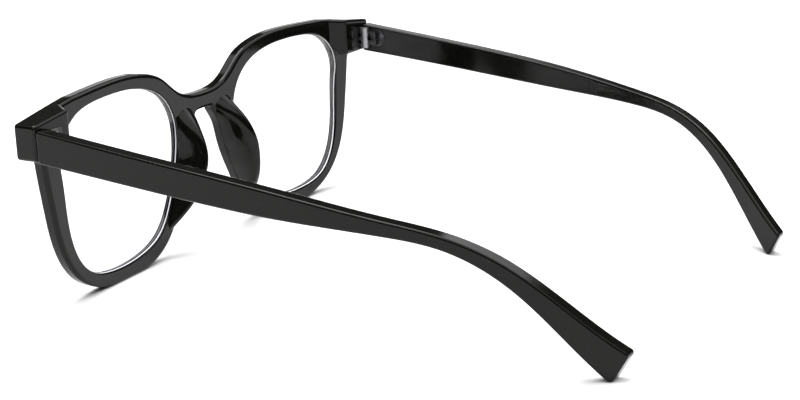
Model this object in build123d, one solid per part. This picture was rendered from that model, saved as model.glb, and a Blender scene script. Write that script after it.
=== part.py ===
"""Full-rim square eyeglasses: a curved front with two lenses, two temples and two five-barrel hinges.

Millimetres, +Z up. The front faces -Y and the temples run back towards +Y, open, with the rims and
the temple tips standing on Z = 0. The wearer's left is +X. Everything is drawn first with Y = 0 on the
hinge joint, where the temples meet the front; at the end it is moved so that the origin is at the
bottom centre of the whole pair. Each left piece is drawn once and mirrored for the right side.
"""
from build123d import *
import os

# ---- front ----
HALF_WIDTH = 70.0        # outer side of the end pieces and of the temples at the joint
FACE_BOW = 694.0         # radius of the front seen from above
RIM_DEPTH = 3.4          # front to back
RIM_BACK = -6.3          # back face on the centre line; the bow brings the ends back from there
BLOCK_INNER = 58.6       # the thick end piece runs from here out to HALF_WIDTH
BLOCK_ROOT = 56.0        # and its inner side leaves the rim's back face here
BLOCK_BOTTOM = 38.1
BLOCK_FRONT = -5.2
CORNER = 0.9             # rounding of the end pieces' corners seen from the front
ARMPIT = 3.0             # hollow corner under each end piece
FRONT_EDGE = 0.6         # edge rounding
BACK_EDGE = 1.0
OPENING_EDGE = 0.35
BLOCK_EDGE = 0.8

# ---- lenses ----
LENS_RADIUS = 130.0      # four-base curve
LENS_THICK = 2.0
LENS_BACK_SET = 0.25     # lens edge lies this far in front of the rim's back edge
TONGUE = 0.7             # bevel height in the rim's groove
TONGUE_THICK = 0.9
LENS_PLAY = 0.03
LENS_CENTRE = (35.2, 25.0)   # X, Z

# ---- hinges ----
PIN_X = 65.8
PIN_Y = 1.5
BARREL_R = 1.2
BARREL_H = 1.1
BARREL_GAP = 0.05
BARRELS = 5
BARREL_BASE = 39.05
BARREL_ROOM = 0.15       # clearance round the barrels in the temple
SCREW_R = 0.6
SCREW_PLAY = 0.05
HEAD_R = 0.95
HEAD_H = 0.4
LEAF_DEPTH = 0.8         # how deep a leaf sits in the plastic
LEAF_PROUD = 0.15

# ---- temples ----
TEMPLE_THICK = 3.4
JOINT_GAP = 0.1
JOINT_Y = -61.16         # where the joint plane lies in the finished part
TEMPLE_EDGE = 0.5
BUTT_CORNER = 0.6
TIP_CORNER = 0.9
WIRE_R = 0.6

PITCH = BARREL_H + BARREL_GAP
BARREL_TOP = BARREL_BASE + BARRELS * PITCH - BARREL_GAP


# ---------------------------------------------------------------- helpers

def mirrored(shape):
    """The same piece on the wearer's right."""
    return mirror(shape, about=Plane.YZ)


def upright(face, y_from, y_to):
    """A face drawn in X and Z, made solid between two Y planes."""
    return Pos(0, y_to, 0) * extrude(face, amount=y_to - y_from)


def bow(x, y_middle):
    """Y of a bowed face at X."""
    return y_middle + FACE_BOW - (FACE_BOW ** 2 - x ** 2) ** 0.5


def bowed_arc(x_from, x_to, y_middle):
    """Part of a bowed face seen from above."""
    middle = (x_from + x_to) / 2
    return ThreePointArc((x_from, bow(x_from, y_middle)), (middle, bow(middle, y_middle)),
                         (x_to, bow(x_to, y_middle)))


def slab(y_front, y_back):
    """The space between two bowed faces, much taller and wider than the glasses."""
    reach = HALF_WIDTH + 8
    with BuildSketch() as plan:
        with BuildLine():
            bowed_arc(-reach, reach, y_front)
            Line((reach, bow(reach, y_front)), (reach, bow(reach, y_back)))
            bowed_arc(reach, -reach, y_back)
            Line((-reach, bow(reach, y_back)), (-reach, bow(reach, y_front)))
        make_face()
    return Pos(0, 0, -10) * extrude(plan.sketch, amount=80)


# ---------------------------------------------------------------- outlines, X and Z

def front_outline():
    """Bridge, rims and end pieces as one closed outline."""
    with BuildSketch(Plane.XZ) as face:
        with BuildLine():
            Spline((0, 39.4), (9.5, 41.2), (16.5, 46.3), (23, 48.6), (33, 49.7), (50, 49.1),
                   (HALF_WIDTH, 46.5), tangents=[(1, 0), (1, -0.14)])
            Line((HALF_WIDTH, 46.5), (HALF_WIDTH, BLOCK_BOTTOM))
            Line((HALF_WIDTH, BLOCK_BOTTOM), (64.4, BLOCK_BOTTOM))
            Spline((64.4, BLOCK_BOTTOM), (63.8, 32.2), (62.6, 24.6), (60.7, 15.6), (57.6, 9.0),
                   (52.6, 3.9), (46, 0.75), (40, 0), tangents=[(-0.05, -1), (-1, 0)])
            Line((40, 0), (31, 0))
            Spline((31, 0), (25.6, 0.6), (20.4, 2.9), (16, 6.9), (12.6, 13.2), (9.4, 19.8),
                   (7.4, 25.6), (5.7, 30.8), (3.7, 33.9), (0, 35), tangents=[(-1, 0), (-1, 0)])
            mirror(about=Plane.YZ)
        make_face()
        fillet(face.vertices().filter_by(lambda v: abs(v.X) > HALF_WIDTH - 0.1), CORNER)
        fillet(face.vertices().filter_by(lambda v: abs(abs(v.X) - 64.4) < 0.1), ARMPIT)
    return face.sketch


def lens_outline(grow):
    """The opening in the left rim, grown or shrunk all round."""
    edge = Spline((58.2, 33), (56.4, 40.4), (51.6, 44.5), (43.5, 46.2), (34.5, 46.4), (24.6, 45.2),
                  (16.9, 41.5), (12.8, 35.2), (12.6, 25), (15.9, 14.8), (21.4, 7.4), (30, 4.1),
                  (41.5, 3.7), (50, 6.1), (54.7, 11.4), (57.3, 21.5), periodic=True)
    if grow:
        steps = [index / 48 for index in range(48)]
        edge = Spline(*[edge @ u + grow * Vector((edge % u).Y, -(edge % u).X) for u in steps],
                      periodic=True)
    return Plane.XZ * make_face(edge)


# ---------------------------------------------------------------- lenses

def lens_shell(front_extra, thickness):
    """The space between two balls about one centre: a meniscus as wide as the ball."""
    x, z = LENS_CENTRE
    edge = RIM_BACK + x ** 2 / (2 * FACE_BOW) - LENS_BACK_SET
    sag = 23.0 ** 2 / (2 * LENS_RADIUS)
    back_face = Vector(x, edge - sag, z)
    inward = Vector(-x / FACE_BOW, 1, 0).normalized()
    centre = back_face + inward * LENS_RADIUS
    outer = Pos(*centre) * Sphere(LENS_RADIUS + front_extra + thickness)
    inner = Pos(*centre) * Sphere(LENS_RADIUS + front_extra)
    return outer - inner


def lens_blank(body_grow, tongue_grow, play):
    """Meniscus that fills the opening, with a tongue round its edge for the rim's groove."""
    body = upright(lens_outline(body_grow), -40, 20) & lens_shell(0, LENS_THICK)
    step = (LENS_THICK - TONGUE_THICK) / 2
    tongue = upright(lens_outline(tongue_grow), -40, 20)
    tongue = tongue & lens_shell(step - play, TONGUE_THICK + 2 * play)
    return (body + tongue).solids().sort_by(SortBy.VOLUME)[-1]


def lens():
    """Left lens."""
    return lens_blank(-LENS_PLAY, TONGUE, 0)


def lens_room():
    """What the rim leaves free for the lens: the opening's own edge and the groove."""
    return lens_blank(0, TONGUE + LENS_PLAY, LENS_PLAY)


# ---------------------------------------------------------------- hinges

def barrel(index, hole_r):
    """One barrel of the hinge, counted from the bottom."""
    z = BARREL_BASE + index * PITCH
    ring = Cylinder(BARREL_R, BARREL_H, align=(Align.CENTER, Align.CENTER, Align.MIN))
    hole = Cylinder(hole_r, BARREL_H, align=(Align.CENTER, Align.CENTER, Align.MIN))
    return Pos(PIN_X, PIN_Y, z) * (ring - hole)


def arm(index, x_from, x_to, y_from, y_to):
    """The bar that joins a barrel to its leaf."""
    z = BARREL_BASE + index * PITCH
    bar = Box(x_to - x_from, y_to - y_from, BARREL_H, align=Align.MIN)
    clear = Cylinder(BARREL_R - 0.2, BARREL_H, align=(Align.CENTER, Align.CENTER, Align.MIN))
    return Pos(x_from, y_from, z) * bar - Pos(PIN_X, PIN_Y, z) * clear


def front_leaf():
    """Plate let into the back of the end piece, with barrels one, three and five."""
    plate = Box(4.6, LEAF_DEPTH + LEAF_PROUD, BARREL_TOP - BARREL_BASE, align=Align.MIN)
    plate = Pos(61.2, -LEAF_DEPTH, BARREL_BASE) * fillet(plate.edges().filter_by(Axis.Y), 0.5)
    leaf = plate
    for index in (0, 2, 4):
        hole_r = SCREW_R if index == 0 else SCREW_R + SCREW_PLAY
        leaf += arm(index, 64.7, 66.4, -LEAF_DEPTH, PIN_Y)
        leaf += barrel(index, hole_r)
    head = Cylinder(HEAD_R + SCREW_PLAY, HEAD_H, align=(Align.CENTER, Align.CENTER, Align.MIN))
    leaf -= Pos(PIN_X, PIN_Y, BARREL_TOP - HEAD_H) * head
    return leaf


def temple_leaf():
    """D-shaped plate let into the temple's inner face, with barrels two and four."""
    inner_face = HALF_WIDTH - TEMPLE_THICK
    height = BARREL_TOP - BARREL_BASE - 0.5
    middle = (BARREL_TOP + BARREL_BASE) / 2
    with BuildSketch(Plane.YZ) as side:
        with Locations((3.2, middle)):
            SlotCenterToCenter(3.6, height - 0.4)
        with Locations((PIN_Y + 0.1 + BARREL_R, middle)):
            Rectangle(5.0, 6.0, mode=Mode.SUBTRACT, align=(Align.MAX, Align.CENTER))
    plate = Pos(inner_face - LEAF_PROUD, 0, 0) * extrude(side.sketch, amount=LEAF_DEPTH + LEAF_PROUD)
    leaf = plate
    for index in (1, 3):
        leaf += arm(index, inner_face - 1.2, inner_face + LEAF_DEPTH, PIN_Y, 5.2)
        leaf += barrel(index, SCREW_R + SCREW_PLAY)
    bridge = Box(1.2 + LEAF_DEPTH, 0.9, 2 * PITCH + BARREL_H, align=Align.MIN)
    leaf += Pos(inner_face - 1.2, 4.3, BARREL_BASE + PITCH) * bridge
    return leaf


def hinge_screw():
    """Shouldered screw with a slotted head, in from above."""
    length = BARREL_TOP - BARREL_BASE - HEAD_H
    shank = Cylinder(SCREW_R, length, align=(Align.CENTER, Align.CENTER, Align.MIN))
    head = Cylinder(HEAD_R, HEAD_H, align=(Align.CENTER, Align.CENTER, Align.MIN))
    slot = Box(2 * HEAD_R + 0.2, 0.28, 0.22, align=(Align.CENTER, Align.CENTER, Align.MAX))
    screw = shank + Pos(0, 0, length) * head - Pos(0, 0, length + HEAD_H) * slot
    return Pos(PIN_X, PIN_Y, BARREL_BASE) * screw


# ---------------------------------------------------------------- front

def end_block():
    """Thick end piece behind the rim, which brings the front back to the joint."""
    with BuildSketch() as plan:
        with BuildLine():
            Polyline((BLOCK_ROOT, BLOCK_FRONT), (BLOCK_ROOT, bow(BLOCK_ROOT, RIM_BACK)),
                     (BLOCK_INNER, 0), (HALF_WIDTH + 1, 0), (HALF_WIDTH + 1, BLOCK_FRONT), close=True)
        make_face()
    block = Pos(0, 0, BLOCK_BOTTOM) * extrude(plan.sketch, amount=20)
    block = block & upright(front_outline(), -40, 20)
    block = block - upright(lens_outline(0), -40, 20)
    edges = block.faces().sort_by(Axis.Y)[-1].edges()
    slanted = [face for face in block.faces() if face.normal_at().X < -0.7 and face.normal_at().Y > 0.1]
    edges += [edge for edge in slanted[0].edges() if abs((edge @ 0).Y - (edge @ 1).Y) > 0.5]
    return fillet(edges, BLOCK_EDGE)


def front_blank():
    """Rims, bridge and end pieces in one piece with rounded edges, before grooves and seats."""
    opening = upright(lens_outline(0), -40, 20)
    rims = upright(front_outline(), -40, 20) & slab(RIM_BACK - RIM_DEPTH, RIM_BACK)
    rims = rims - opening - mirrored(opening)
    front_face, back_face = rims.faces().sort_by(SortBy.AREA)[-2:].sort_by(Axis.Y)
    rims = fillet(front_face.edges(), FRONT_EDGE)
    back_face = rims.faces().sort_by(SortBy.AREA)[-2:].sort_by(Axis.Y)[-1]
    rims = fillet(back_face.outer_wire().edges(), BACK_EDGE)
    back_face = rims.faces().sort_by(SortBy.AREA)[-2:].sort_by(Axis.Y)[-1]
    rims = fillet([edge for wire in back_face.inner_wires() for edge in wire.edges()], OPENING_EDGE)
    block = end_block()
    return rims + block + mirrored(block)


def front_frame(leaf):
    """Finished front: grooves for both lenses and a seat in each end piece for its hinge."""
    frame = front_blank()
    room = lens_room()
    for cut in (room, leaf):
        frame = frame - cut - mirrored(cut)
    return frame.solids().sort_by(SortBy.VOLUME)[-1]


# ---------------------------------------------------------------- nose pads

def nose_pad(frame):
    """Left saddle pad: a tall ridge glued to the rim, its crest standing back from the bridge."""
    base = RIM_BACK - 1.5
    # height, nose side of the root, crest (X, Y), lens side of the root
    stations = [(37.6, 5.5, (8.2, -6.7), 11.4),
                (36.0, 4.6, (8.5, -5.6), 11.7),
                (33.4, 4.3, (9.2, -2.8), 12.0),
                (30.6, 5.8, (9.8, -0.4), 12.1),
                (26.6, 7.15, (10.5, 1.5), 12.2),
                (22.6, 8.45, (11.4, 1.8), 12.8),
                (18.6, 10.0, (12.6, 1.0), 14.0),
                (14.6, 11.95, (14.1, -0.6), 15.6),
                (11.0, 13.8, (15.8, -3.0), 17.3),
                (8.8, 15.0, (16.9, -4.8), 18.6),
                (6.6, 16.5, (18.2, -6.6), 20.2)]
    sections = []
    for height, nose, (crest_x, crest_y), lens_side in stations:
        rise = crest_y - base
        with BuildSketch(Plane.XY.offset(height)) as section:
            with BuildLine():
                Bezier((nose, base), (nose + 0.12 * (crest_x - nose), base + 0.7 * rise),
                       (crest_x - 1.4, crest_y), (crest_x, crest_y))
                Bezier((crest_x, crest_y), (crest_x + 0.9, crest_y),
                       (lens_side - 0.2, base + 0.6 * rise), (lens_side, base))
                Line((lens_side, base), (nose, base))
            make_face()
        sections.append(section.sketch)
    pad = loft(sections)
    pad = pad - frame - lens_room()
    return pad.solids().sort_by(SortBy.VOLUME)[-1]


# ---------------------------------------------------------------- temples

def temple_side():
    """The temple seen from the side: tapered to the ear, then dropping to a square-cut tip."""
    top = (132.45, 5.7)
    bottom = (129.0, -0.58)
    with BuildSketch(Plane.YZ) as side:
        with BuildLine():
            Spline((JOINT_GAP, 45.55), (36, 41.3), (64, 37.5), (86, 33.7), (99, 30.8), (108, 26.65),
                   (118, 18.75), top)
            Line(top, bottom)
            Spline(bottom, (118, 12.4), (109, 21.8), (99, 27.7), (86, 30.2), (64, 31.8), (36, 34.4),
                   (JOINT_GAP, 37.95))
            Line((JOINT_GAP, 37.95), (JOINT_GAP, 45.55))
        make_face()
        ends = side.vertices().sort_by(Axis.Y)
        fillet(ends[:2], TIP_CORNER)
        fillet(side.vertices().sort_by(Axis.X)[:2], BUTT_CORNER)
    return side.sketch


def temple_plan():
    """The temple seen from above: straight from the joint, then curving in behind the ear."""
    with BuildSketch() as plan:
        with BuildLine():
            outer = Spline((HALF_WIDTH, JOINT_GAP - 1), (HALF_WIDTH, 20), (69.55, 41), (66.6, 77.4),
                           (61.2, 101), (53.9, 118), (45.0, 135), tangents=[(0, 1), (-0.55, 1)])
            inner = [outer @ u + TEMPLE_THICK * Vector(-(outer % u).Y, (outer % u).X, 0)
                     for u in (0, 0.15, 0.3, 0.45, 0.6, 0.7, 0.8, 0.9, 1)]
            Line(outer @ 1, inner[-1])
            Spline(*inner[::-1], tangents=[-(outer % 1), -(outer % 0)])
            Line(inner[0], outer @ 0)
        make_face()
    return plan.sketch


def core_wire():
    """Stiffening wire moulded into the temple, from behind the hinge nearly to the tip."""
    path = Spline((68.3, 9, 40.8), (68.1, 36.5, 37.8), (66.5, 64, 34.65), (63.35, 86.8, 31.9),
                  (59.9, 100.6, 28.8), (56.4, 109.7, 23.7), (52.2, 118.8, 15.2), (49.6, 123.5, 10.2))
    return sweep(Plane(origin=path @ 0, z_dir=path % 0) * Circle(WIRE_R), path=path)


def temple(leaf, wire):
    """Left temple, rounded along its edges, with its hinge seat and the wire's channel."""
    blank = extrude(temple_side(), amount=HALF_WIDTH + 5) & extrude(temple_plan(), amount=60, both=True)
    long_edges = blank.edges().filter_by(lambda e: e.length > 50)
    blank = fillet(long_edges, TEMPLE_EDGE)
    sweep_room = Cylinder(BARREL_R + BARREL_ROOM, BARREL_TOP - BARREL_BASE + 2 * BARREL_ROOM,
                          align=(Align.CENTER, Align.CENTER, Align.MIN))
    blank -= Pos(PIN_X, PIN_Y, BARREL_BASE - BARREL_ROOM) * sweep_room
    blank = blank - leaf - wire
    return blank.solids().sort_by(SortBy.VOLUME)[-1]


# ---------------------------------------------------------------- assembly

def build():
    """Every piece by name, still with Y = 0 on the joint."""
    leaf = front_leaf()
    frame = front_frame(leaf)
    moving_leaf = temple_leaf()
    wire = core_wire()
    left = {
        "lens": lens(),
        "nose_pad": nose_pad(frame),
        "hinge_front_leaf": leaf,
        "hinge_temple_leaf": moving_leaf,
        "hinge_screw": hinge_screw(),
        "temple": temple(moving_leaf, wire),
        "temple_core_wire": wire,
    }
    pieces = {"front_frame": frame}
    for name, shape in left.items():
        pieces[name + "_left"] = shape
        pieces[name + "_right"] = mirrored(shape)
    return pieces


def main():
    os.makedirs("parts", exist_ok=True)
    for name, shape in build().items():
        export_step(Pos(0, JOINT_Y, 0) * shape, "parts/" + name + ".step")


if __name__ == "__main__":
    main()
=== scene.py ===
"""Looks of the eyeglasses: materials for every piece, floor, lights and camera."""
import math

import bpy
from mathutils import Matrix, Vector


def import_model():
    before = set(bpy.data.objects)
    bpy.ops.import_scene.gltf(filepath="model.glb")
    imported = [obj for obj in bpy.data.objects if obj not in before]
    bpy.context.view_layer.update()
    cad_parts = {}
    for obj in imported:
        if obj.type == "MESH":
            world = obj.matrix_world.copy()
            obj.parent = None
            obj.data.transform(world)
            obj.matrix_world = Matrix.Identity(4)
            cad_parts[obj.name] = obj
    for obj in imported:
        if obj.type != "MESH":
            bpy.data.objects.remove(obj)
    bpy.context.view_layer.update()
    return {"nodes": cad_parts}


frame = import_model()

nodes = frame["nodes"]
scene = bpy.context.scene

# Places on the glasses, in metres.
JOINT_Y = -0.06116            # plane where the temples meet the front
HINGE_X = 0.0658              # the hinge axes, to each side of the middle
HINGE_BACK = 0.0015           # and behind the joint plane
BARREL_RADIUS = 0.0012
FACE_BOW = 0.694              # radius of the front seen from above
LENS_EDGE_SET = 0.00655       # back edge of the lenses in front of the joint plane, at the middle
BARE_EDGE = 0.0012            # width of the ground edge that the rim leaves bare


# ---------------------------------------------------------------- node helpers

class Tree:
    """A material and short calls that add nodes to it."""

    def __init__(self, name):
        self.material = bpy.data.materials.new(name)
        self.material.use_nodes = True
        self.nodes = self.material.node_tree.nodes
        self.links = self.material.node_tree.links
        self.nodes.clear()
        self.output = self.add("ShaderNodeOutputMaterial")
        self.place = self.add("ShaderNodeTexCoord").outputs["Object"]

    def add(self, kind, **values):
        node = self.nodes.new(kind)
        for key, value in values.items():
            setattr(node, key, value)
        return node

    def put(self, socket, value):
        if isinstance(value, bpy.types.NodeSocket):
            self.links.new(value, socket)
        else:
            socket.default_value = value

    def axes(self, vector):
        node = self.add("ShaderNodeSeparateXYZ")
        self.put(node.inputs[0], vector)
        return node.outputs

    def math(self, operation, a, b=0.0):
        node = self.add("ShaderNodeMath", operation=operation)
        self.put(node.inputs[0], a)
        self.put(node.inputs[1], b)
        return node.outputs[0]

    def noise(self, scale, detail=3.0, rough=0.5, stretch=(1, 1, 1), turn=(0, 0, 0)):
        mapping = self.add("ShaderNodeMapping")
        mapping.inputs["Scale"].default_value = stretch
        mapping.inputs["Rotation"].default_value = turn
        self.put(mapping.inputs["Vector"], self.place)
        node = self.add("ShaderNodeTexNoise")
        self.put(node.inputs["Vector"], mapping.outputs[0])
        node.inputs["Scale"].default_value = scale
        node.inputs["Detail"].default_value = detail
        node.inputs["Roughness"].default_value = rough
        return node.outputs["Fac"]

    def ramp(self, value, stops):
        node = self.add("ShaderNodeValToRGB")
        self.put(node.inputs[0], value)
        while len(node.color_ramp.elements) < len(stops):
            node.color_ramp.elements.new(0.5)
        for element, (place, grey) in zip(node.color_ramp.elements, stops):
            element.position = place
            element.color = (grey, grey, grey, 1)
        return node.outputs["Color"]

    def square(self, value):
        return self.math("POWER", self.math("ABSOLUTE", value), 2.0)

    def mix(self, factor, a, b):
        node = self.add("ShaderNodeMix", data_type="RGBA")
        self.put(node.inputs[0], factor)
        self.put(node.inputs[6], a)
        self.put(node.inputs[7], b)
        return node.outputs[2]

    def bump(self, height, strength, distance, under=None):
        node = self.add("ShaderNodeBump")
        self.put(node.inputs["Height"], height)
        node.inputs["Strength"].default_value = strength
        node.inputs["Distance"].default_value = distance
        if under is not None:
            self.put(node.inputs["Normal"], under)
        return node.outputs[0]

    def mix_shaders(self, factor, a, b):
        node = self.add("ShaderNodeMixShader")
        self.put(node.inputs[0], factor)
        self.links.new(a.outputs[0], node.inputs[1])
        self.links.new(b.outputs[0], node.inputs[2])
        return node

    def shader(self, **values):
        node = self.add("ShaderNodeBsdfPrincipled")
        for key, value in values.items():
            self.put(node.inputs[key.replace("_", " ")], value)
        return node

    def finish(self, shader):
        self.links.new(shader.outputs[0], self.output.inputs[0])
        return self.material


# ---------------------------------------------------------------- materials

def black_plastic(name, sheen_colour=(0.0030, 0.0031, 0.0024)):
    """Polished black acetate: faint waviness, fine polishing scratches, a few pale specks."""
    t = Tree(name)
    wave = t.noise(260, 1.0)
    grain = t.noise(2600, 2.0, 0.6)
    scratch = t.ramp(t.noise(900, 4.0, 0.7, stretch=(1, 0.06, 1), turn=(0.4, 0.2, 0.1)),
                     [(0.60, 0.0), (0.72, 1.0)])
    specks = t.ramp(t.noise(1900, 1.0, 0.3), [(0.775, 0.0), (0.80, 1.0)])
    cloud = t.noise(45, 2.0)
    dark = tuple(c * 0.75 for c in sheen_colour)
    colour = t.mix(cloud, (*dark, 1), (*sheen_colour, 1))
    colour = t.mix(t.math("MULTIPLY", specks, 0.35), colour, (0.09, 0.085, 0.07, 1))
    rough = t.math("ADD", 0.085, t.math("MULTIPLY", grain, 0.05))
    rough = t.math("ADD", rough, t.math("MULTIPLY", scratch, 0.10))
    height = t.bump(wave, 0.10, 0.0002)
    height = t.bump(scratch, 0.03, 0.00002, height)
    return t.finish(t.shader(Base_Color=colour, Roughness=rough, Normal=height,
                             IOR=1.49, Specular_IOR_Level=0.20))


def hinge_metal(name, colour=(0.05, 0.05, 0.052), barrel_highlight_colour=(0.34, 0.34, 0.35)):
    """Dark tumbled nickel plate, with a painted highlight of paler colour round the barrels."""
    t = Tree(name)
    grain = t.noise(3800, 4.0, 0.6)
    streak = t.noise(1500, 3.0, 0.6, stretch=(1, 1, 0.1))
    wear = t.ramp(t.noise(700, 3.0), [(0.5, 0.0), (0.72, 1.0)])
    place = t.axes(t.place)
    across = t.math("SUBTRACT", t.math("ABSOLUTE", place["X"]), HINGE_X)
    along = t.math("SUBTRACT", place["Y"], JOINT_Y + HINGE_BACK)
    radius = t.math("SQRT", t.math("ADD", t.square(across), t.square(along)))
    in_diameters = t.math("MULTIPLY", radius, 1 / (2 * BARREL_RADIUS))
    # Painted highlight: paler colour in a ring round each hinge barrel axis.
    barrel_highlight = t.ramp(in_diameters, [(0.50, 1.0), (0.56, 0.0)])
    base = t.mix(barrel_highlight, (*colour, 1), (*barrel_highlight_colour, 1))
    tone = t.mix(t.math("MULTIPLY", wear, 0.3), base, (0.45, 0.45, 0.46, 1))
    rough = t.math("ADD", 0.26, t.math("MULTIPLY", streak, 0.22))
    return t.finish(t.shader(Base_Color=tone, Metallic=1.0, Roughness=rough,
                             Normal=t.bump(grain, 0.2, 0.00004)))


def lens_material(name):
    """Clear coated glass with a ground edge: pale where the rim leaves it bare, with painted shade where
    the groove buries it.
    """
    t = Tree(name)
    facing = t.axes(t.add("ShaderNodeTexCoord").outputs["Normal"])
    is_edge = t.math("LESS_THAN", t.math("ABSOLUTE", facing["Y"]), 0.6)
    place = t.axes(t.place)
    bow = t.math("MULTIPLY", t.square(place["X"]), 1 / (2 * FACE_BOW))
    depth = t.math("SUBTRACT", t.math("ADD", bow, JOINT_Y - LENS_EDGE_SET), place["Y"])
    bare_not_shaded = t.math("LESS_THAN", depth, BARE_EDGE)
    ground = t.noise(5200, 3.0, 0.7)
    pale = t.mix(ground, (0.80, 0.80, 0.82, 1), (0.97, 0.97, 0.98, 1))
    # Painted shade: the ground edge is coloured dark inside the groove and pale where it is bare.
    tone = t.mix(bare_not_shaded, (0.035, 0.033, 0.055, 1), pale)
    edge = t.shader(Base_Color=tone, Roughness=0.55, Normal=t.bump(ground, 0.3, 0.00003))
    smear = t.noise(60, 3.0, 0.6, stretch=(1, 1, 2))
    glass = t.shader(Base_Color=(0.99, 0.995, 1.0, 1), Transmission_Weight=1.0, IOR=1.5,
                     Roughness=t.math("MULTIPLY", smear, 0.02))
    clear = t.add("ShaderNodeBsdfTransparent")
    clear.inputs["Color"].default_value = (0.97, 0.97, 0.98, 1)
    # Shadow rays pass the glass, so it casts only a faint shadow.
    faces = t.mix_shaders(t.add("ShaderNodeLightPath").outputs["Is Shadow Ray"], glass, clear)
    return t.finish(t.mix_shaders(is_edge, faces, edge))


def floor_material():
    """Plain white sweep with the least mottling."""
    t = Tree("floor_white")
    cloud = t.noise(6, 2.0)
    tone = t.mix(cloud, (0.93, 0.93, 0.93, 1), (0.95, 0.95, 0.95, 1))
    return t.finish(t.shader(Base_Color=tone, Roughness=0.9, Specular_IOR_Level=0.1))


def dress_pieces():
    """Give every piece the material of its kind; left and right share it."""
    plastic = black_plastic("polished_black")
    pad_plastic = black_plastic("polished_black_pads", (0.0034, 0.0035, 0.0028))
    hinge = hinge_metal("hinge_dark_nickel")
    kinds = {
        "front_frame": plastic,
        "temple": plastic,
        "nose_pad": pad_plastic,
        "hinge_front_leaf": hinge,
        "hinge_temple_leaf": hinge,
        "hinge_screw": hinge_metal("screw_bright", (0.33, 0.33, 0.34)),
        "temple_core_wire": hinge_metal("core_drawn_steel", (0.40, 0.40, 0.41)),
        "lens": lens_material("lens_clear"),
    }
    for name, node in nodes.items():
        kind = name.replace("_left", "").replace("_right", "")
        node.data.materials.clear()
        node.data.materials.append(kinds[kind])


# ---------------------------------------------------------------- floor, lights, camera

def floor():
    """Large plain floor under the glasses."""
    half = 6.0
    corners = [(-half, -half, 0), (half, -half, 0), (half, half, 0), (-half, half, 0)]
    mesh = bpy.data.meshes.new("floor")
    mesh.from_pydata(corners, [], [(0, 1, 2, 3)])
    plane = bpy.data.objects.new("floor", mesh)
    scene.collection.objects.link(plane)
    mesh.materials.append(floor_material())


def area_light(name, place, target, width, height, power):
    """Rectangular soft light aimed at a point."""
    light = bpy.data.lights.new(name, "AREA")
    light.energy = power
    light.shape = "RECTANGLE"
    light.size = width
    light.size_y = height
    lamp = bpy.data.objects.new(name, light)
    lamp.location = place
    lamp.rotation_mode = "QUATERNION"
    lamp.rotation_quaternion = (Vector(target) - Vector(place)).to_track_quat("-Z", "Y")
    scene.collection.objects.link(lamp)


def camera():
    """Camera behind the wearer's left shoulder, looking down a little at the inside of the front."""
    yaw = math.radians(238.47)
    pitch = math.radians(-15.92)
    roll = math.radians(-2.315)
    forward = Vector((math.sin(yaw) * math.cos(pitch), math.cos(yaw) * math.cos(pitch), math.sin(pitch)))
    level = forward.cross(Vector((0, 0, 1))).normalized()
    over = level.cross(forward)
    right = math.cos(roll) * level + math.sin(roll) * over
    up = math.cos(roll) * over - math.sin(roll) * level
    data = bpy.data.cameras.new("camera")
    data.sensor_width = 36
    data.lens = 80.55
    data.clip_start = 0.01
    data.clip_end = 20
    view = bpy.data.objects.new("camera", data)
    turn = Matrix((right, up, -forward)).transposed()
    place = Vector((0.35753, JOINT_Y + 0.27071, 0.1366))
    view.matrix_world = Matrix.Translation(place) @ turn.to_4x4()
    scene.collection.objects.link(view)
    scene.camera = view


def world():
    """Faint even light from all round."""
    shell = bpy.data.worlds.new("studio")
    shell.use_nodes = True
    back = shell.node_tree.nodes["Background"]
    back.inputs["Color"].default_value = (1.0, 1.0, 0.98, 1)
    back.inputs["Strength"].default_value = 0.06
    scene.world = shell


dress_pieces()
floor()
camera()
world()
# Two soft lights overhead, and two bands beyond the front that shine in its upper faces.
area_light("soft_top", (0.3, 0.2, 2.5), (0.1, 0, 0), 4.2, 4.2, 120)
area_light("key_top", (-0.1, -0.4, 2.3), (0, 0, 0), 1.4, 1.4, 42)
area_light("glow_low", (-1.44, -1.38, 0.42), (0, 0, 0.04), 1.8, 0.55, 3.6)
area_light("glow_high", (-1.56, 0.63, 1.45), (0, 0, 0.04), 2.6, 0.86, 15)
scene.view_settings.view_transform = "Standard"
scene.view_settings.look = "None"

bpy.context.view_layer.update()
